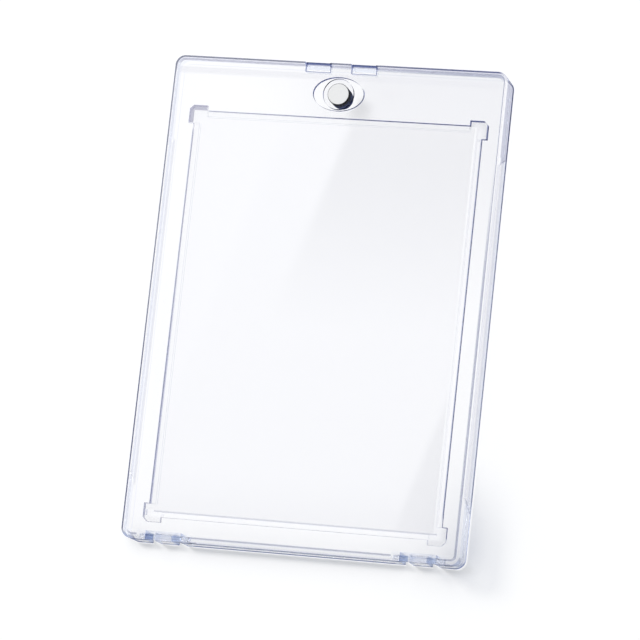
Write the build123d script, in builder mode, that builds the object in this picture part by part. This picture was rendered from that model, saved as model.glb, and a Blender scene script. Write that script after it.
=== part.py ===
# Clear hinged magnetic case for one trading card.
# The case lies on its back: X across the card, Y up the card, Z out of the front.
# The origin is under the centre of the case, on the plane of the rear lip. Millimetres.

import os
from math import hypot

from build123d import *

# Card and the room round it
card_width = 63.5
card_height = 88.9
card_side_gap = 0.5
card_end_gap = 0.55

# Case outline: what the shells have beyond the card pocket
side_margin = 4.85
bottom_margin = 5.2
top_margin = 11.6
corner_radius = 2.2

# Thickness of each shell, and the raised lip round its outer face
shell_thickness = 3.4
lip_height = 0.8
lip_width = 0.6
lip_draft = 20.0
outer_round = 0.3
parting_bevel = 0.12

# Card pocket, half of it in each shell
pocket_depth = 0.55
ear_leg = 4.0
ear_reach = 1.1
ear_chamfer = 0.9

# Step inside the pocket that keeps the windows off the face of the card
step_depth = 0.25
step_side_inset = 1.45
step_end_inset = 1.3

# Hinges: a tongue of the rear shell in a slot of the cover, on a pin
hinge_end_distance = 9.1
tongue_width = 4.0
tongue_side_gap = 1.9
hinge_axis_inset = 0.95
hinge_axis_rise = 0.95
barrel_radius = 0.9
barrel_gap = 0.15
slot_roof = 1.3
roof_pad_reach = 1.3
roof_pad_side = 0.3
roof_pad_height = 0.55
pin_diameter = 1.0
pin_bore_gap = 0.05
pin_seat_length = 1.6
pin_throat_width = 0.8
cove_gap = 0.08

# Opening notch in the top edge of the cover, and the two lugs that stand in it
notch_width = 15.8
notch_depth = 2.0
tab_width = 4.7
lug_thickness = 0.8
lug_gap = 0.12
lug_drop = 0.8

# Magnets, and the oval recess round the front one
magnet_diameter = 4.8
magnet_length = 3.0
magnet_edge = 0.2
magnet_top_distance = 6.7
boss_diameter = 6.8
oval_width = 11.3
oval_height = 7.5
oval_depth = 0.9

# Finger grips along the two sides
grip_depth = 0.5
grip_bottom_distance = 12.0
grip_top_distance = 17.8
grip_slant = 2.5
grip_land = 1.0

# Derived sizes
pocket_width = card_width + 2 * card_side_gap
pocket_height = card_height + 2 * card_end_gap
case_width = pocket_width + 2 * side_margin
case_height = pocket_height + bottom_margin + top_margin
half_thickness = lip_height + shell_thickness
case_thickness = 2 * half_thickness
front_face = case_thickness - lip_height
side_x = case_width / 2
top_y = case_height / 2
bottom_y = -top_y

pocket_centre_y = bottom_y + bottom_margin + pocket_height / 2

hinge_xs = [-side_x + hinge_end_distance, side_x - hinge_end_distance]
slot_width = tongue_width + 2 * tongue_side_gap
slot_depth = hinge_axis_inset + barrel_radius + barrel_gap
slot_top = case_thickness - slot_roof
axis_y = bottom_y + hinge_axis_inset
axis_z = half_thickness + hinge_axis_rise
cove_radius = hypot(hinge_axis_inset, hinge_axis_rise) + cove_gap
pin_length = slot_width + 2 * pin_seat_length

notch_half_width = (notch_width - tab_width) / 2
notch_xs = [-(tab_width + notch_half_width) / 2, (tab_width + notch_half_width) / 2]
magnet_y = top_y - magnet_top_distance

grip_length_rear = case_height - grip_bottom_distance - grip_top_distance
grip_length_front = grip_length_rear - 2 * grip_slant
grip_centre_y = (grip_bottom_distance - grip_top_distance) / 2


def shell_body(outer_z, toward_parting):
    """Rounded plate with the raised lip round its outer face, up to the parting plane."""
    lip_plane = Plane(origin=(0, 0, outer_z), z_dir=(0, 0, toward_parting))
    with BuildPart() as body:
        with BuildSketch(lip_plane):
            RectangleRounded(case_width, case_height, corner_radius)
        extrude(amount=half_thickness)
        fillet(body.faces().filter_by_position(Axis.Z, outer_z, outer_z).edges(), outer_round)
        with BuildSketch(lip_plane):
            inner_round = corner_radius - lip_width
            RectangleRounded(case_width - 2 * lip_width, case_height - 2 * lip_width, inner_round)
        extrude(amount=lip_height, taper=lip_draft, mode=Mode.SUBTRACT)
        parting = body.faces().filter_by_position(Axis.Z, half_thickness, half_thickness)
        chamfer(parting.edges(), parting_bevel)
    return body.part


def pocket_cutter(into):
    """Half of the card pocket, with its four corner ears and the window cut a step deeper."""
    parting = Plane(origin=(0, pocket_centre_y, half_thickness), z_dir=(0, 0, into))
    ear_across = pocket_width + 2 * ear_reach - ear_leg
    ear_along = pocket_height + 2 * ear_reach - ear_leg
    with BuildPart() as cutter:
        with BuildSketch(parting):
            Rectangle(pocket_width, pocket_height)
        extrude(amount=pocket_depth)
        with BuildSketch(parting):
            Rectangle(pocket_width - 2 * step_side_inset, pocket_height - 2 * step_end_inset)
            with GridLocations(ear_across, ear_along, 2, 2):
                Rectangle(ear_leg, ear_leg)
        extrude(amount=pocket_depth + step_depth)
        outline = cutter.part.bounding_box()
        corners = [
            edge
            for edge in cutter.edges().filter_by(Axis.Z)
            if abs(edge.center().X) > outline.max.X - ear_chamfer
            and abs(edge.center().Y - pocket_centre_y) > outline.size.Y / 2 - ear_chamfer
        ]
        chamfer(corners, ear_chamfer)
    return cutter.part


def grip_cutter():
    """Shallow finger grip with slanted ends along each side wall, longer at the rear."""
    with BuildPart() as cutter:
        for side in (-1, 1):
            with BuildSketch(Plane.YZ.offset(side * side_x)):
                with BuildLine():
                    Polyline(
                        (grip_centre_y - grip_length_rear / 2, grip_land),
                        (grip_centre_y + grip_length_rear / 2, grip_land),
                        (grip_centre_y + grip_length_front / 2, case_thickness - grip_land),
                        (grip_centre_y - grip_length_front / 2, case_thickness - grip_land),
                        close=True,
                    )
                make_face()
            extrude(amount=-side * grip_depth)
    return cutter.part


# Rear shell: plate and lip, pocket, grips, lugs, magnet bore, cove and hinge tongues
with BuildPart() as rear_shell:
    add(shell_body(0, 1))
    add(pocket_cutter(-1), mode=Mode.SUBTRACT)
    add(grip_cutter(), mode=Mode.SUBTRACT)

    with BuildSketch(Plane.XY.offset(half_thickness - parting_bevel)):
        with Locations(*[(x, top_y - lug_thickness / 2) for x in notch_xs]):
            Rectangle(notch_half_width - 2 * lug_gap, lug_thickness)
    extrude(amount=half_thickness + parting_bevel - lug_drop)

    with Locations(Plane.XY.offset(lip_height)):
        with Locations((0, magnet_y)):
            Cylinder(
                magnet_diameter / 2,
                magnet_length,
                align=(Align.CENTER, Align.CENTER, Align.MIN),
                mode=Mode.SUBTRACT,
            )

    with BuildSketch(Plane.YZ):
        with Locations((axis_y, axis_z)):
            Circle(cove_radius)
    extrude(amount=case_width, both=True, mode=Mode.SUBTRACT)

    for hinge_x in hinge_xs:
        with BuildSketch(Plane.XY):
            with Locations((hinge_x, bottom_y)):
                Rectangle(slot_width, 2 * slot_depth)
                Rectangle(tongue_width, 2 * slot_depth, mode=Mode.SUBTRACT)
        extrude(amount=half_thickness, mode=Mode.SUBTRACT)
        with BuildSketch(Plane.YZ.offset(hinge_x)):
            with Locations((axis_y, axis_z)):
                Circle(barrel_radius)
            with Locations((bottom_y, lip_height)):
                Rectangle(
                    hinge_axis_inset + barrel_radius,
                    axis_z - lip_height,
                    align=(Align.MIN, Align.MIN),
                )
        extrude(amount=tongue_width / 2, both=True)
        with BuildSketch(Plane.YZ.offset(hinge_x)):
            with Locations((axis_y, axis_z)):
                Circle(pin_diameter / 2 + pin_bore_gap)
        extrude(amount=tongue_width, both=True, mode=Mode.SUBTRACT)

rear_shell.part.label = "rear_shell"


# Front cover: plate and lip, pocket, grips, notch, oval recess, magnet boss and hinge slots
with BuildPart() as front_cover:
    add(shell_body(case_thickness, -1))
    add(pocket_cutter(1), mode=Mode.SUBTRACT)
    add(grip_cutter(), mode=Mode.SUBTRACT)

    with BuildSketch(Plane.XY.offset(half_thickness)):
        with Locations(*[(x, top_y - notch_depth / 2) for x in notch_xs]):
            Rectangle(notch_half_width, notch_depth)
    extrude(amount=half_thickness, mode=Mode.SUBTRACT)

    with BuildSketch(Plane.XY.offset(front_face)):
        with Locations((0, magnet_y)):
            Ellipse(oval_width / 2, oval_height / 2)
            Circle(boss_diameter / 2, mode=Mode.SUBTRACT)
    extrude(amount=-oval_depth, mode=Mode.SUBTRACT)
    with BuildSketch(Plane.XY.offset(front_face)):
        with Locations((0, magnet_y)):
            Circle(magnet_diameter / 2)
    extrude(amount=-magnet_length, mode=Mode.SUBTRACT)

    for hinge_x in hinge_xs:
        with BuildSketch(Plane.XY.offset(front_face)):
            with Locations((hinge_x, bottom_y + lip_width)):
                Rectangle(
                    slot_width + 2 * roof_pad_side,
                    roof_pad_reach - lip_width,
                    align=(Align.CENTER, Align.MIN),
                )
        extrude(amount=roof_pad_height)
        with BuildSketch(Plane.XY.offset(half_thickness)):
            with Locations((hinge_x, bottom_y)):
                Rectangle(slot_width, 2 * slot_depth)
        extrude(amount=slot_top - half_thickness, mode=Mode.SUBTRACT)
        with BuildSketch(Plane.YZ.offset(hinge_x)):
            with Locations((axis_y, axis_z)):
                Circle(pin_diameter / 2)
            with Locations((axis_y, half_thickness)):
                Rectangle(
                    pin_throat_width, hinge_axis_rise, align=(Align.CENTER, Align.MIN)
                )
        extrude(amount=pin_length / 2, both=True, mode=Mode.SUBTRACT)

front_cover.part.label = "front_cover"


# Disc magnets, poled to pull the cover shut
def magnet(low_z):
    """Nickel-plated disc with broken edges, standing on low_z."""
    with BuildPart() as disc:
        with BuildSketch(Plane(origin=(0, magnet_y, low_z))):
            Circle(magnet_diameter / 2)
        extrude(amount=magnet_length)
        chamfer(disc.edges().filter_by(GeomType.CIRCLE), magnet_edge)
    return disc.part


with BuildPart() as rear_magnet:
    add(magnet(lip_height))

rear_magnet.part.label = "rear_magnet"

with BuildPart() as front_magnet:
    add(magnet(front_face - magnet_length))

front_magnet.part.label = "front_magnet"


# Hinge pins, snapped into the cover through its throats
def hinge_pin(hinge_x):
    """Round pin across one hinge slot and both its seats."""
    with BuildPart() as pin:
        with BuildSketch(Plane.YZ.offset(hinge_x)):
            with Locations((axis_y, axis_z)):
                Circle(pin_diameter / 2)
        extrude(amount=pin_length / 2, both=True)
    return pin.part


with BuildPart() as left_hinge_pin:
    add(hinge_pin(hinge_xs[0]))

left_hinge_pin.part.label = "left_hinge_pin"

with BuildPart() as right_hinge_pin:
    add(hinge_pin(hinge_xs[1]))

right_hinge_pin.part.label = "right_hinge_pin"


os.makedirs("parts", exist_ok=True)
export_step(rear_shell.part, "parts/rear_shell.step")
export_step(front_cover.part, "parts/front_cover.step")
export_step(rear_magnet.part, "parts/rear_magnet.step")
export_step(front_magnet.part, "parts/front_magnet.step")
export_step(left_hinge_pin.part, "parts/left_hinge_pin.step")
export_step(right_hinge_pin.part, "parts/right_hinge_pin.step")
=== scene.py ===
import math

import bpy
from mathutils import Matrix, Vector


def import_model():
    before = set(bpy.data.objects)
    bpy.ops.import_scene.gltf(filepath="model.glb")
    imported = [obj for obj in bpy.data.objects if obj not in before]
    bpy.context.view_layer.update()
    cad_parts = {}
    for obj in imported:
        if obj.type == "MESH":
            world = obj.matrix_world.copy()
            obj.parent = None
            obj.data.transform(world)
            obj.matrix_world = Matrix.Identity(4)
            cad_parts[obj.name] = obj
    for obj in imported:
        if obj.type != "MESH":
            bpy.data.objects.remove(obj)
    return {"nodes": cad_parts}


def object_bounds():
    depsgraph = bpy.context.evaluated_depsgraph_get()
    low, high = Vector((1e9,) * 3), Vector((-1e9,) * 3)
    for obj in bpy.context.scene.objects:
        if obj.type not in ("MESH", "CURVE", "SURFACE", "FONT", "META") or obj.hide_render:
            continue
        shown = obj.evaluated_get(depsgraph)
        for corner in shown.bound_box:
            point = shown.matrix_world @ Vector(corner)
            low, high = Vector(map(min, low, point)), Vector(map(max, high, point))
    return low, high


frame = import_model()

cad_low, cad_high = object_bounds()

MM = 0.001
SHELLS = ("rear_shell", "front_cover")
PINS = ("left_hinge_pin", "right_hinge_pin")
MAGNETS = ("rear_magnet", "front_magnet")

# Where the CAD has the forms that the looks follow, in millimetres
SIDE_X, END_Y, CORNER_RADIUS = 37.1, 53.4, 2.2  # half the case's outline
PARTING_Z = 4.2  # the two shells meet
POCKET_Y = -3.2  # the middle of the card pocket
HINGE_X = 28.0  # the middle of each hinge
MAGNET_Y = 46.7
OVAL_REACH_X, OVAL_REACH_Y = 5.65, 3.75  # the recess round the front magnet

PLASTIC_IOR = 1.49
STUDIO_WHITE, STUDIO_LEVEL = (0.98, 0.99, 1.0), 0.78  # the light from all round


class Tree:
    """A material's or world's node tree with short calls for its nodes.

    A mask is a socket that is 1 where it holds and 0 elsewhere.
    """

    def __init__(self, owner, output):
        owner.use_nodes = True
        self.nodes = owner.node_tree.nodes
        self.link = owner.node_tree.links.new
        self.nodes.clear()
        self.output = self.add(output)

    def add(self, kind, **settings):
        node = self.nodes.new(kind)
        for name, value in settings.items():
            setattr(node, name, value)
        return node

    def feed(self, socket, value):
        """Links a socket, or sets a number or a colour of three numbers."""
        if isinstance(value, bpy.types.NodeSocket):
            self.link(value, socket)
        else:
            socket.default_value = (*value, 1) if isinstance(value, tuple) else value

    def split(self, vector):
        """The X, Y and Z of a vector."""
        node = self.add("ShaderNodeSeparateXYZ")
        self.link(vector, node.inputs[0])
        return node.outputs

    def math(self, operation, *values):
        node = self.add("ShaderNodeMath", operation=operation)
        for socket, value in zip(node.inputs, values):
            self.feed(socket, value)
        return node.outputs[0]

    def length(self, first, second):
        squares = (self.math("MULTIPLY", part, part) for part in (first, second))
        return self.math("SQRT", self.math("ADD", *squares))

    def step(self, value, start, end):
        """0 at start, 1 at end, smooth between."""
        node = self.add("ShaderNodeMapRange", interpolation_type="SMOOTHSTEP")
        self.feed(node.inputs["Value"], value)
        node.inputs["From Min"].default_value = start
        node.inputs["From Max"].default_value = end
        return node.outputs[0]

    def step_mm(self, value, start, end):
        """step() with start and end in millimetres."""
        return self.step(value, start * MM, end * MM)

    def between(self, value, low, high, soft=0.05):
        """1 where value lies from low to high millimetres."""
        return self.all_of(
            self.step_mm(value, low - soft, low), self.step_mm(value, high + soft, high)
        )

    def all_of(self, mask, *others):
        for other in others:
            mask = self.math("MULTIPLY", mask, other)
        return mask

    def any_of(self, mask, *others):
        for other in others:
            mask = self.math("MAXIMUM", mask, other)
        return mask

    def colour(self, share, first, second):
        node = self.add("ShaderNodeMix", data_type="RGBA")
        self.feed(node.inputs[0], share)
        self.feed(node.inputs[6], first)
        self.feed(node.inputs[7], second)
        return node.outputs[2]

    def layers(self, tone, *layers):
        """Lays colours over a tone in turn, each where its mask is."""
        for mask, colour in layers:
            tone = self.colour(mask, tone, colour)
        return tone

    def grain(self, place, **settings):
        """Fine noise from 0 to 1."""
        node = self.add("ShaderNodeTexNoise")
        for name, value in settings.items():
            node.inputs[name].default_value = value
        self.link(place, node.inputs["Vector"])
        return node.outputs["Fac"]

    def shader(self, kind, **values):
        node = self.add(kind)
        for name, value in values.items():
            self.feed(node.inputs[name.replace("_", " ")], value)
        return node.outputs[0]

    def mix(self, share, first, second):
        node = self.add("ShaderNodeMixShader")
        self.feed(node.inputs[0], share)
        self.link(first, node.inputs[1])
        self.link(second, node.inputs[2])
        return node.outputs[0]

    def finish(self, surface):
        self.link(surface, self.output.inputs["Surface"])


class Place:
    """Where a point of the part is in the CAD, and how level its face is."""

    def __init__(self, t):
        coordinates = t.add("ShaderNodeTexCoord")
        self.point = coordinates.outputs["Object"]
        self.normal = t.split(coordinates.outputs["Normal"])
        self.x, self.y, self.z = t.split(self.point)
        self.level = t.math("ABSOLUTE", self.normal["Z"])
        self.flats = t.step(self.level, 0.9, 0.97)
        self.from_magnet = t.length(self.x, t.math("SUBTRACT", self.y, MAGNET_Y * MM))


class CasePlace(Place):
    """The same for the two shells, with masks for the kinds of face they have."""

    def __init__(self, t):
        super().__init__(t)
        x, y, z = self.x, self.y, self.z
        self.across = t.math("ABSOLUTE", x)
        self.endwise = t.step(t.math("ABSOLUTE", self.normal["X"]), 0.9, 0.97)
        self.from_pocket = t.math("ABSOLUTE", t.math("ADD", y, -POCKET_Y * MM))
        self.off_hinge = t.math("SUBTRACT", self.across, HINGE_X * MM)
        self.from_hinge = t.math("ABSOLUTE", self.off_hinge)

        # how far inside the case's rounded outline, near it
        core_x, core_y = (SIDE_X - CORNER_RADIUS) * MM, (END_Y - CORNER_RADIUS) * MM
        along = t.math("ABSOLUTE", y)
        past_x = t.math("MAXIMUM", t.math("SUBTRACT", self.across, core_x), 0.0)
        past_y = t.math("MAXIMUM", t.math("SUBTRACT", along, core_y), 0.0)
        self.inset = t.math("SUBTRACT", CORNER_RADIUS * MM, t.length(past_x, past_y))
        self.corner = t.all_of(t.step_mm(past_x, 0.4, 1.4), t.step_mm(past_y, 0.4, 1.4))

        # which end or side
        self.left = t.step_mm(x, -34.9, -36.3)
        self.right = t.step_mm(x, 34.9, 36.3)
        self.lower = t.step_mm(y, -51.2, -52.6)
        self.upper = t.step_mm(y, 51.2, 52.6)
        self.right_foot = t.step_mm(y, -37, -43)

        # which kind of face
        self.walls = t.step(self.level, 0.25, 0.1)
        self.rim = t.step_mm(self.inset, 0.62, 0.55)
        self.outside = t.all_of(self.walls, self.rim)
        self.inner = t.all_of(self.walls, t.step_mm(self.inset, 0.9, 1.0))
        lip_slope = t.between(self.inset, 0.61, 0.93, 0.01)
        self.lip = t.all_of(lip_slope, t.step_mm(z, 7.55, 7.62))
        self.rear_lip = t.all_of(lip_slope, t.step_mm(z, 0.85, 0.8))
        self.in_window = t.all_of(
            t.step_mm(self.across, 31.4, 31.2), t.step_mm(self.from_pocket, 44.4, 44.2)
        )
        self.pocket = t.all_of(
            self.inner,
            t.between(z, 3.3, 5.1),
            t.step_mm(self.from_pocket, 47.0, 46.8),
            t.step_mm(self.across, 34.0, 33.8),
        )
        self.bore = t.all_of(self.walls, t.step_mm(self.from_magnet, 2.46, 2.44))
        self.notch = t.all_of(
            self.walls,
            t.between(self.across, 2.3, 7.95),
            t.step_mm(y, 51.2, 51.3),
            t.step_mm(z, 4.2, 4.25),
        )
        self.foot = t.step_mm(y, -51.2, -51.35)
        self.hinge = t.all_of(self.foot, t.between(self.across, 22.4, 33.6, 0.3))


def flat_tones_and_painted_shade(t, at):
    """The windows' near-clear tone, and painted shade on the flats: the border round the windows
    greyer toward the upper right, a grey painted reflection of the top lip just inside it, and a
    dark painted reflection in the upper left ear of the pocket.
    """
    border = t.all_of(
        at.flats, t.math("SUBTRACT", 1.0, at.in_window), t.step_mm(at.z, 7.5, 7.55)
    )
    upper_right = t.all_of(t.step_mm(at.x, -30, 20), t.step_mm(at.y, -15, 42))
    painted_lip_reflection = t.all_of(t.step_mm(at.y, 49.2, 50.2), t.step_mm(at.y, 51.3, 50.8))
    ear = t.all_of(
        at.flats,
        t.between(at.z, 4.95, 5.05),
        t.between(at.x, -33.3, -29.4),
        t.step_mm(at.from_pocket, 42.1, 42.2),
        t.step_mm(at.y, 0, 1),
        t.any_of(t.step_mm(at.x, -32.2, -32.3), t.step_mm(at.from_pocket, 44.9, 45.0)),
    )
    return (
        (t.all_of(at.in_window, at.flats), (0.995, 0.995, 0.999)),
        # painted shade, greyer toward the upper right
        (t.all_of(border, upper_right), (0.92, 0.92, 0.935)),
        # painted reflection of the top lip
        (t.all_of(border, painted_lip_reflection), (0.90, 0.90, 0.92)),
        # painted dark reflection in the pocket's upper left ear
        (ear, (0.57, 0.57, 0.66)),
    )


def wall_painted_shading(t, at):
    """Painted shading on the case's outer walls, the rear lip's slope and the ledge of the right
    finger grip: dark lines and bands that stand in for the dark reflections and shade in clear
    walls, lighter beside the grip and at the right foot.
    """
    # painted dark reflection line along the outer edge of the right wall
    outer_or_inset = t.colour(
        t.step_mm(at.inset, 0.2, 0.4), (0.62, 0.63, 0.72), (0.85, 0.85, 0.88)
    )
    beside_grip = t.all_of(t.between(at.y, -40.5, 34.5, 0.5), t.step_mm(at.z, 7.2, 7.3))
    upper_rear = t.all_of(t.step_mm(at.y, 34, 36), t.step_mm(at.z, 1.7, 1.5))
    # painted light beside the grip and at the right foot, painted dark reflections low down and at
    # the upper rear
    right_wall = t.layers(
        outer_or_inset,
        (beside_grip, (0.95, 0.955, 0.975)),
        (t.step_mm(at.z, 0.95, 0.9), (0.46, 0.48, 0.60)),
        (upper_rear, (0.30, 0.33, 0.48)),
        (at.right_foot, (0.90, 0.92, 0.97)),
    )
    # painted shade on the grip's ledge
    grip_ledge = t.all_of(
        at.flats, at.right, t.step_mm(at.inset, 0.5, 0.45), t.between(at.z, 0.9, 1.1)
    )
    # the lower wall: nearly clear, with a painted grey band of shade on its front half, painted
    # shade in its corners and a painted dark line along its foot
    lower_wall = t.all_of(at.outside, at.lower)
    low_corner = t.colour(t.step_mm(at.x, 0, 1), (0.40, 0.46, 0.64), (0.66, 0.71, 0.85))
    return (
        (t.any_of(at.outside, at.rear_lip), (0.92, 0.93, 0.97)),
        (t.all_of(at.outside, at.right), right_wall),
        (grip_ledge, (0.78, 0.80, 0.86)),
        (lower_wall, (0.995, 0.997, 1.0)),
        (t.all_of(lower_wall, t.step_mm(at.z, 5.1, 5.2)), (0.44, 0.47, 0.57)),
        (t.all_of(lower_wall, at.corner), low_corner),
        (t.all_of(lower_wall, t.step_mm(at.z, 1.7, 1.4)), (0.48, 0.52, 0.68)),
    )


def lip_painted_shading(t, at):
    """Painted dark reflections on the front lip's inner slope, darkest at the top right and the
    right and nearly clear at the bottom, and a painted dark line on the front face at its foot.
    """
    # painted dark line at the lip's foot, along the right, the bottom and the top right
    lip_foot = t.all_of(
        t.between(at.inset, 0.93, 1.3, 0.02), at.flats, t.between(at.z, 7.55, 7.65)
    )
    dark_foot = t.any_of(
        t.all_of(at.right, t.step_mm(at.y, 38, 5)),
        at.lower,
        t.all_of(at.upper, t.step_mm(at.x, -10, 30)),
    )
    upper_lip = t.colour(t.step_mm(at.x, -5, 30), (0.62, 0.62, 0.70), (0.50, 0.51, 0.60))
    right_lip = t.colour(at.right_foot, (0.45, 0.47, 0.58), (0.62, 0.65, 0.76))
    return (
        (t.all_of(lip_foot, dark_foot), (0.50, 0.52, 0.62)),
        (at.lip, (0.85, 0.86, 0.91)),
        (t.all_of(at.lip, at.upper), upper_lip),
        (t.all_of(at.lip, at.lower), (0.95, 0.955, 0.975)),
        (t.all_of(at.lip, at.right), right_lip),
    )


def round_painted_reflection_lines(t, at):
    """Painted dark reflection lines on the rounds along the outer edges; the front line is wider
    at the top and the left.
    """
    wider_above = t.math("MULTIPLY", t.step_mm(at.y, 49, 52), 0.15 * MM)
    wider_left = t.math("MULTIPLY", at.left, 0.08 * MM)
    reach = t.math("SUBTRACT", t.math("SUBTRACT", at.inset, wider_above), wider_left)
    front = t.all_of(t.step_mm(reach, 0.32, 0.28), t.step_mm(at.z, 8.05, 8.1))
    rear = t.all_of(t.step_mm(at.inset, 0.32, 0.28), t.step_mm(at.z, 0.35, 0.3))
    near_sides = t.any_of(at.right, at.lower)
    # painted dark lines: darker toward the right and at the lower left; on the right and lower
    # sides the front round stays nearly clear and the rear round carries the line, lighter at the
    # right foot
    front_tone = t.layers(
        t.colour(t.step_mm(at.x, -5, 30), (0.30, 0.31, 0.38), (0.18, 0.19, 0.32)),
        (t.all_of(at.left, t.step_mm(at.y, 10, -30)), (0.19, 0.20, 0.29)),
    )
    rear_tone = t.layers(
        t.colour(t.step_mm(at.y, 10, 40), (0.36, 0.39, 0.52), (0.18, 0.20, 0.34)),
        (t.all_of(at.right, at.right_foot), (0.74, 0.78, 0.90)),
    )
    return (
        (front, front_tone),
        (t.all_of(front, near_sides), (0.97, 0.97, 0.99)),
        (t.all_of(rear, near_sides), rear_tone),
    )


def pocket_painted_reflection_lines(t, at):
    """Painted dark reflection lines on the pocket's walls, and fine painted lines on the flats
    beside them.
    """
    upper_right = t.all_of(t.step_mm(at.y, 30, 38), t.step_mm(at.x, -28, 20))
    upper_left = t.all_of(t.step_mm(at.x, -29.0, -29.3), t.step_mm(at.y, 37, 38))
    low_ear = t.all_of(t.step_mm(at.x, 27, 27.5), t.step_mm(at.y, -47.6, -47.9))
    # painted dark reflections: darkest at the right and upper right, light at the upper left and
    # the lower right ear, grey at the lower end
    wall = t.layers(
        t.colour(upper_right, (0.42, 0.44, 0.56), (0.13, 0.15, 0.32)),
        (t.step_mm(at.x, 31.9, 32.1), (0.14, 0.16, 0.32)),
        (upper_left, (0.80, 0.80, 0.86)),
        (t.step_mm(at.y, -47.9, -48.1), (0.55, 0.56, 0.64)),
        (low_ear, (0.80, 0.81, 0.86)),
    )
    low_sill = t.all_of(
        at.flats,
        t.between(at.y, -47.0, -46.75),
        t.between(at.z, 4.7, 5.1),
        t.step_mm(at.across, 31.3, 31.1),
    )
    beside = t.all_of(t.between(at.z, 3.5, 4.9), at.flats)
    left_line = t.all_of(
        t.between(at.x, -32.35, -32.05, 0.03), beside, t.step_mm(at.y, 20, -25)
    )
    right_line = t.all_of(
        t.between(at.x, 32.08, 32.35, 0.03),
        beside,
        t.step_mm(at.y, -45, -42),
        t.step_mm(at.y, 41, 38),
    )
    ear_line = t.all_of(
        t.between(at.x, 33.15, 33.45, 0.03),
        t.between(at.z, 3.3, 5.1),
        at.flats,
        t.between(at.y, 38.9, 42.2),
    )
    return (
        (at.pocket, wall),
        (t.all_of(at.pocket, at.in_window), (0.80, 0.82, 0.88)),
        (low_sill, (0.72, 0.73, 0.78)),
        (left_line, (0.62, 0.64, 0.76)),
        (right_line, (0.45, 0.48, 0.62)),
        (ear_line, (0.40, 0.43, 0.60)),
    )


def recess_painted_reflections(t, at):
    """A painted dark reflection on the wall of the magnet's oval recess, and a painted grey line
    round its lower right.
    """
    in_front = t.step_mm(at.z, 6.5, 6.6)
    wall = t.all_of(at.inner, in_front, t.step_mm(at.from_magnet, 6.2, 6.0))
    oval_x = t.math("MULTIPLY", at.x, 1 / (OVAL_REACH_X * MM))
    oval_y = t.math("SUBTRACT", at.y, MAGNET_Y * MM)
    oval_y = t.math("MULTIPLY", oval_y, 1 / (OVAL_REACH_Y * MM))
    oval = t.length(oval_x, oval_y)
    lower_right = t.math(
        "SUBTRACT", t.math("MULTIPLY", oval_x, 0.82), t.math("MULTIPLY", oval_y, 0.57)
    )
    ring = t.all_of(
        t.step(oval, 0.985, 1.0),
        t.step(oval, 1.055, 1.035),
        t.step(lower_right, 0.5, 0.75),
        at.flats,
        in_front,
    )
    return ((wall, (0.07, 0.09, 0.24)), (ring, (0.40, 0.43, 0.60)))


def hinge_painted_shade(t, at):
    """Painted shading at the hinges: the blocks kept nearly clear, painted blue shade on the sides
    of their tongues and on the roofs of the gaps beside them, darker in the gap on the left of
    each hinge.
    """
    block = t.all_of(at.hinge, t.step_mm(at.inset, 0.1, 0.2), t.step_mm(at.z, 1.4, 1.7))
    tongue_side = t.all_of(at.hinge, at.endwise, t.between(at.from_hinge, 1.9, 4.0))
    gap = t.all_of(
        t.between(at.from_hinge, 2.02, 3.85),
        t.between(at.z, 7.05, 7.15),
        at.flats,
        t.step_mm(at.y, -52.0, -52.2),
    )
    rightward = t.math("MULTIPLY", at.off_hinge, t.math("SIGN", at.x))
    left_gap = t.step_mm(rightward, 0.5, -0.5)
    left_gap_tone = t.colour(t.step_mm(at.x, 0, 1), (0.38, 0.46, 0.66), (0.50, 0.58, 0.75))
    # painted shade in the hinge gaps and on the tongue sides
    return (
        (block, (0.97, 0.975, 0.99)),
        (tongue_side, (0.60, 0.66, 0.82)),
        (gap, t.colour(left_gap, (0.62, 0.69, 0.83), left_gap_tone)),
    )


def notch_painted_shade(t, at):
    """Painted shade in the opening notch, darker toward the front, with the backs of the two lugs
    that stand in it kept nearly clear and painted dark shade on their tops.
    """
    lug_back = t.all_of(at.notch, t.between(at.y, 52.5, 52.7), t.step(at.endwise, 0.9, 0.5))
    lug_top = t.all_of(
        at.flats,
        t.between(at.across, 2.45, 7.8),
        t.between(at.y, 52.85, 54),
        t.between(at.z, 7, 7.7),
    )
    by_height = t.colour(t.step_mm(at.z, 6.3, 6.6), (0.93, 0.94, 0.97), (0.34, 0.38, 0.56))
    return (
        (at.notch, by_height),
        (lug_back, (0.90, 0.92, 0.96)),
        (lug_top, (0.20, 0.23, 0.40)),
    )


def plastic_tone_and_painted_shading(t, at):
    """The plastic's colour: nearly clear with a faint random tone, under painted shading, a cool
    cast of dark lines and bands in its rounds, lips and walls that stands in for the dark
    reflections and shade of clear acrylic.
    """
    grain = t.grain(at.point, Scale=28.0, Detail=2.0)
    tone = t.colour(grain, (0.990, 0.990, 0.996), (1.0, 1.0, 1.0))
    for tones in (
        flat_tones_and_painted_shade,
        wall_painted_shading,
        lip_painted_shading,
        round_painted_reflection_lines,
        pocket_painted_reflection_lines,
        recess_painted_reflections,
        hinge_painted_shade,
        notch_painted_shade,
    ):
        tone = t.layers(tone, *tones(t, at))

    # a wall seen square on is nearly clear; its painted shade shows as it is seen more edge-on, so
    # it darkens towards its edge
    weight = t.add("ShaderNodeLayerWeight")
    weight.inputs["Blend"].default_value = 0.5
    square_on = t.step(weight.outputs["Facing"], 0.72, 0.45)
    return t.colour(t.all_of(at.walls, square_on), tone, (0.95, 0.96, 0.985))


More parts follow.
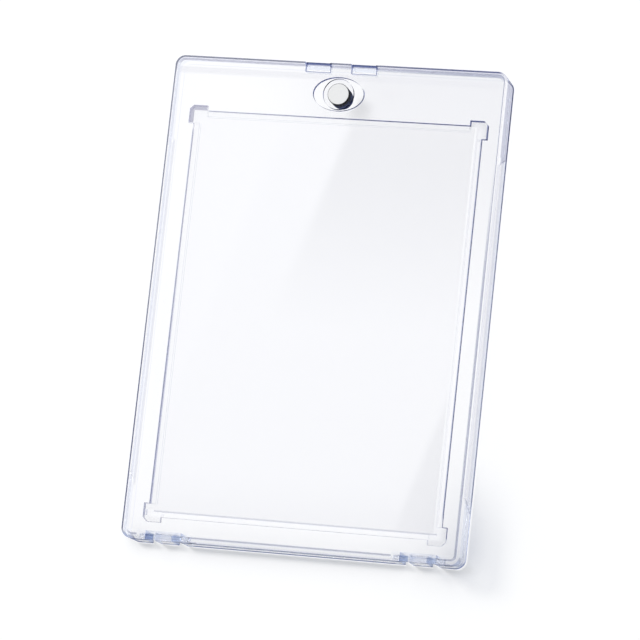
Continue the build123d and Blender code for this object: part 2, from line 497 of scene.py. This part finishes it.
def straight_share(t, at):
    """How much of the sight passes a face without bending: most at the edges and by the pocket."""
    thin = t.math("MULTIPLY", t.any_of(at.rim, at.pocket, at.lip, at.notch), 0.75)
    sides = t.all_of(at.outside, t.any_of(at.right, at.left))
    clearest = t.math("MULTIPLY", t.any_of(sides, at.rear_lip, at.foot), 0.93)
    less_at_hinge = t.math("SUBTRACT", 1.0, t.math("MULTIPLY", at.hinge, 0.5))
    edges = t.math("MULTIPLY", t.any_of(thin, clearest), less_at_hinge)
    side_band = t.all_of(t.between(at.x, 30.9, 32.2), t.step_mm(at.from_pocket, 45.0, 44.8))
    low_band = t.all_of(t.between(at.y, -48.15, -46.95), t.step_mm(at.across, 32.3, 32.2))
    bands = t.all_of(t.any_of(side_band, low_band), at.flats)
    return t.any_of(edges, t.math("MULTIPLY", bands, 0.95))


def lamp_tone(t, at):
    """How much lamplight gets through. Less does at the lower right, where the shadow is."""
    shade = t.all_of(t.step_mm(at.y, -27, -52), t.step_mm(at.x, 25, 34))
    low_edge = t.all_of(at.lower, t.step_mm(at.z, 2.1, 1.7))
    veil = t.layers(
        t.colour(shade, (0.97, 0.97, 0.98), (0.34, 0.37, 0.46)), (low_edge, (0.03, 0.05, 0.10))
    )
    return t.colour(t.all_of(at.rim, at.walls), (0.998, 0.998, 0.999), veil)


def clear_plastic():
    """Polished clear acrylic.

    Lamps shine through it. Where the shells meet, and round the magnets, it lets sight straight
    through, so that the closed case shows as one block.
    """
    material, t = material_tree("clear_plastic")
    at = CasePlace(t)
    tone = plastic_tone_and_painted_shading(t, at)
    rays = t.add("ShaderNodeLightPath")
    ray_depth = rays.outputs["Ray Depth"]
    # Blender ends a path in black after 4 reflections or 12 surfaces. Before that it goes
    # straight on here, and near the end as if nothing were in its way.
    deep = t.any_of(t.step(ray_depth, 6.4, 6.6), t.step(rays.outputs["Glossy Depth"], 2.4, 2.6))
    last = t.step(ray_depth, 10.4, 10.6)
    lamp_ray = t.any_of(rays.outputs["Is Shadow Ray"], rays.outputs["Is Diffuse Ray"])

    glass = t.shader("ShaderNodeBsdfGlass", Color=tone, Roughness=0.0, IOR=PLASTIC_IOR)
    direct = t.shader("ShaderNodeBsdfRefraction", Color=tone, Roughness=0.0, IOR=1.0)
    seen = t.mix(t.any_of(straight_share(t, at), deep), glass, direct)
    seen = t.mix(last, seen, t.shader("ShaderNodeBsdfTransparent", Color=tone))
    veil = t.shader("ShaderNodeBsdfTransparent", Color=lamp_tone(t, at))
    lit = t.mix(lamp_ray, seen, veil)

    joined = t.any_of(t.math("COMPARE", at.z, PARTING_Z * MM, 0.01 * MM), at.bore)
    through = t.shader("ShaderNodeBsdfRefraction", Roughness=0.0, IOR=1.0)
    nothing = t.shader("ShaderNodeBsdfTransparent")
    through = t.mix(t.any_of(lamp_ray, last), through, nothing)
    t.finish(t.mix(joined, lit, through))
    return material


def plated_metal():
    """Satin nickel plate on the magnets' faces; painted shade draws their sides and the outer edge
    of each face near black, darker toward the front.
    """
    material, t = material_tree("plated_magnet")
    at = Place(t)
    outer_end = t.any_of(t.step_mm(at.z, 7.3, 7.35), t.step_mm(at.z, 1.1, 1.05))
    chamfer = t.all_of(t.step(at.level, 0.4, 0.6), outer_end)
    # painted shade: the sides and the outer edge of each face are drawn near black, darker toward
    # the front
    inside = t.step_mm(at.from_magnet, 2.31, 2.25)
    face = t.all_of(t.any_of(at.flats, chamfer), inside)
    painted_side_shade = t.colour(t.step_mm(at.z, 1.5, 6.5), (0.035, 0.05, 0.12), (0.001, 0.001, 0.003))
    side = t.shader("ShaderNodeBsdfDiffuse", Color=painted_side_shade)

    grain = t.grain(at.point, Scale=2500.0)
    plate = t.shader(
        "ShaderNodeBsdfPrincipled",
        Base_Color=t.colour(grain, (0.86, 0.86, 0.86), (0.96, 0.96, 0.95)),
        Roughness=t.math("ADD", t.math("MULTIPLY", grain, 0.2), 0.35),
        Metallic=0.2,
        Specular_IOR_Level=0.05,
    )
    t.finish(t.mix(face, side, plate))
    return material


def material_tree(name):
    material = bpy.data.materials.new(name)
    return material, Tree(material, "ShaderNodeOutputMaterial")


def dress(node_name, material):
    """Puts a material on a CAD node."""
    mesh = frame["nodes"][node_name].data
    mesh.materials.clear()
    mesh.materials.append(material)


def stage_mesh(name, corners, faces):
    mesh = bpy.data.meshes.new(name)
    mesh.from_pydata(corners, [], faces)
    piece = bpy.data.objects.new(name, mesh)
    bpy.context.scene.collection.objects.link(piece)
    return piece


def only_in_gloss(piece):
    """Leaves a stage piece to be seen by glass and metal alone."""
    piece.visible_camera = False
    piece.visible_diffuse = False
    piece.visible_shadow = False


def floor():
    """Large plain white floor under the case. It keeps the case's shadow."""
    reach = 3.0
    level = cad_low.z - 0.02 * MM
    turns = ((-1, -1), (1, -1), (1, 1), (-1, 1))
    corners = [(side * reach, end * reach, level) for side, end in turns]
    piece = stage_mesh("floor", corners, [(0, 1, 2, 3)])
    material, t = material_tree("floor_white")
    rays = t.add("ShaderNodeLightPath")
    kinds = ("Camera", "Glossy", "Transmission")
    seen = t.any_of(*(rays.outputs[f"Is {kind} Ray"] for kind in kinds))
    white = t.shader("ShaderNodeBsdfDiffuse", Color=(0.95, 0.95, 0.955))
    lift = t.math("MULTIPLY", seen, 0.09)  # brings the lit floor up to white
    add = t.add("ShaderNodeAddShader")
    t.link(white, add.inputs[0])
    t.link(t.shader("ShaderNodeEmission", Color=(1.0, 1.0, 1.0), Strength=lift), add.inputs[1])
    t.finish(add.outputs[0])
    piece.data.materials.append(material)


def world():
    """Even white studio light from all round."""
    studio = bpy.data.worlds.new("studio")
    bpy.context.scene.world = studio
    t = Tree(studio, "ShaderNodeOutputWorld")
    t.finish(t.shader("ShaderNodeBackground", Color=STUDIO_WHITE, Strength=STUDIO_LEVEL))


def flags():
    """Cool grey cards in a ring round the case, which give clear plastic its dark edges."""
    count, radius, low, high = 48, 0.6, 0.0, 0.30
    corners, faces = [], []
    for i in range(count):
        angle = 2 * math.pi * i / count
        for height in (low, high):
            corners.append((radius * math.cos(angle), radius * math.sin(angle), height))
        first, second = 2 * i, 2 * ((i + 1) % count)
        faces.append((first, second, second + 1, first + 1))
    piece = stage_mesh("edge_flags", corners, faces)
    material, t = material_tree("edge_flags")
    height = t.split(t.add("ShaderNodeTexCoord").outputs["Object"])["Z"]
    glow = t.colour(t.step(height, 0.05, high), (0.32, 0.35, 0.46), (0.93, 0.95, 0.98))
    t.finish(t.shader("ShaderNodeEmission", Color=glow))
    piece.data.materials.append(material)
    only_in_gloss(piece)


def reflection_card():
    """Panel overhead with dim slanting parts, for the soft reflections in the front."""
    (x0, x1), (y0, y1), height = (-0.45, 0.2), (-0.2, 0.45), 0.6
    corners = [(x0, y0, height), (x0, y1, height), (x1, y1, height), (x1, y0, height)]
    piece = stage_mesh("reflection_card", corners, [(0, 1, 2, 3)])
    material, t = material_tree("reflection_card")
    x, y, _ = t.split(t.add("ShaderNodeTexCoord").outputs["Object"])
    slant = t.math("SUBTRACT", x, t.math("MULTIPLY", y, 0.302))
    # the parts, and how dim each is
    faint = t.math("MULTIPLY", t.step(slant, -0.2215, -0.2145), 0.12)
    upper = t.all_of(t.step(slant, -0.1945, -0.1905), t.step(y, 0.07, 0.17))
    lower = t.math("MULTIPLY", t.step(slant, -0.1130, -0.1095), 0.8)
    foot = t.math("MULTIPLY", t.step(y, 0.045, 0.0), 0.6)
    glow = t.colour(t.any_of(faint, upper, lower, foot), STUDIO_WHITE, (0.05, 0.05, 0.08))
    t.finish(t.shader("ShaderNodeEmission", Color=glow, Strength=STUDIO_LEVEL))
    piece.data.materials.append(material)
    only_in_gloss(piece)


def key_lamp():
    """Soft lamp at the upper left. Gloss and glass don't show it."""
    data = bpy.data.lights.new("key", "AREA")
    data.shape = "RECTANGLE"
    data.size = data.size_y = 0.6
    data.energy = 14
    place = Vector((-1.33, 0.75, 1.286))
    piece = bpy.data.objects.new("key", data)
    piece.location = place
    piece.rotation_mode = "QUATERNION"
    piece.rotation_quaternion = (-place).to_track_quat("-Z", "Y")
    piece.visible_glossy = False
    piece.visible_transmission = False
    bpy.context.scene.collection.objects.link(piece)


def camera():
    """Looks down on the case from the side of its right edge and its hinges."""
    yaw, pitch, roll = (math.radians(a) for a in (13.69, 9.08, 6.24))
    distance = 771.9 * MM
    frame_width_px, focal_px = 640, 3600
    target = Vector((1.63 * MM, -3.28 * MM, cad_high.z))
    look = Vector(
        (-math.sin(yaw) * math.cos(pitch), math.sin(pitch), -math.cos(yaw) * math.cos(pitch))
    )
    level_right = Vector((math.cos(yaw), 0, -math.sin(yaw)))
    level_up = level_right.cross(look)
    right = math.cos(roll) * level_right + math.sin(roll) * level_up
    up = math.cos(roll) * level_up - math.sin(roll) * level_right
    data = bpy.data.cameras.new("camera")
    data.sensor_width = 36.0
    data.lens = data.sensor_width * focal_px / frame_width_px
    piece = bpy.data.objects.new("camera", data)
    turn = Matrix((right, up, -look)).transposed()
    piece.matrix_world = Matrix.Translation(target - distance * look) @ turn.to_4x4()
    bpy.context.scene.collection.objects.link(piece)
    bpy.context.scene.camera = piece


bpy.context.scene.view_settings.view_transform = "Standard"
plastic = clear_plastic()
metal = plated_metal()
for name in SHELLS + PINS:
    dress(name, plastic)
for name in MAGNETS:
    dress(name, metal)
# under glass their shadows would be hard black patches on the floor
for name in MAGNETS + PINS:
    frame["nodes"][name].visible_shadow = False
    frame["nodes"][name].visible_diffuse = False
floor()
world()
flags()
reflection_card()
key_lamp()
camera()
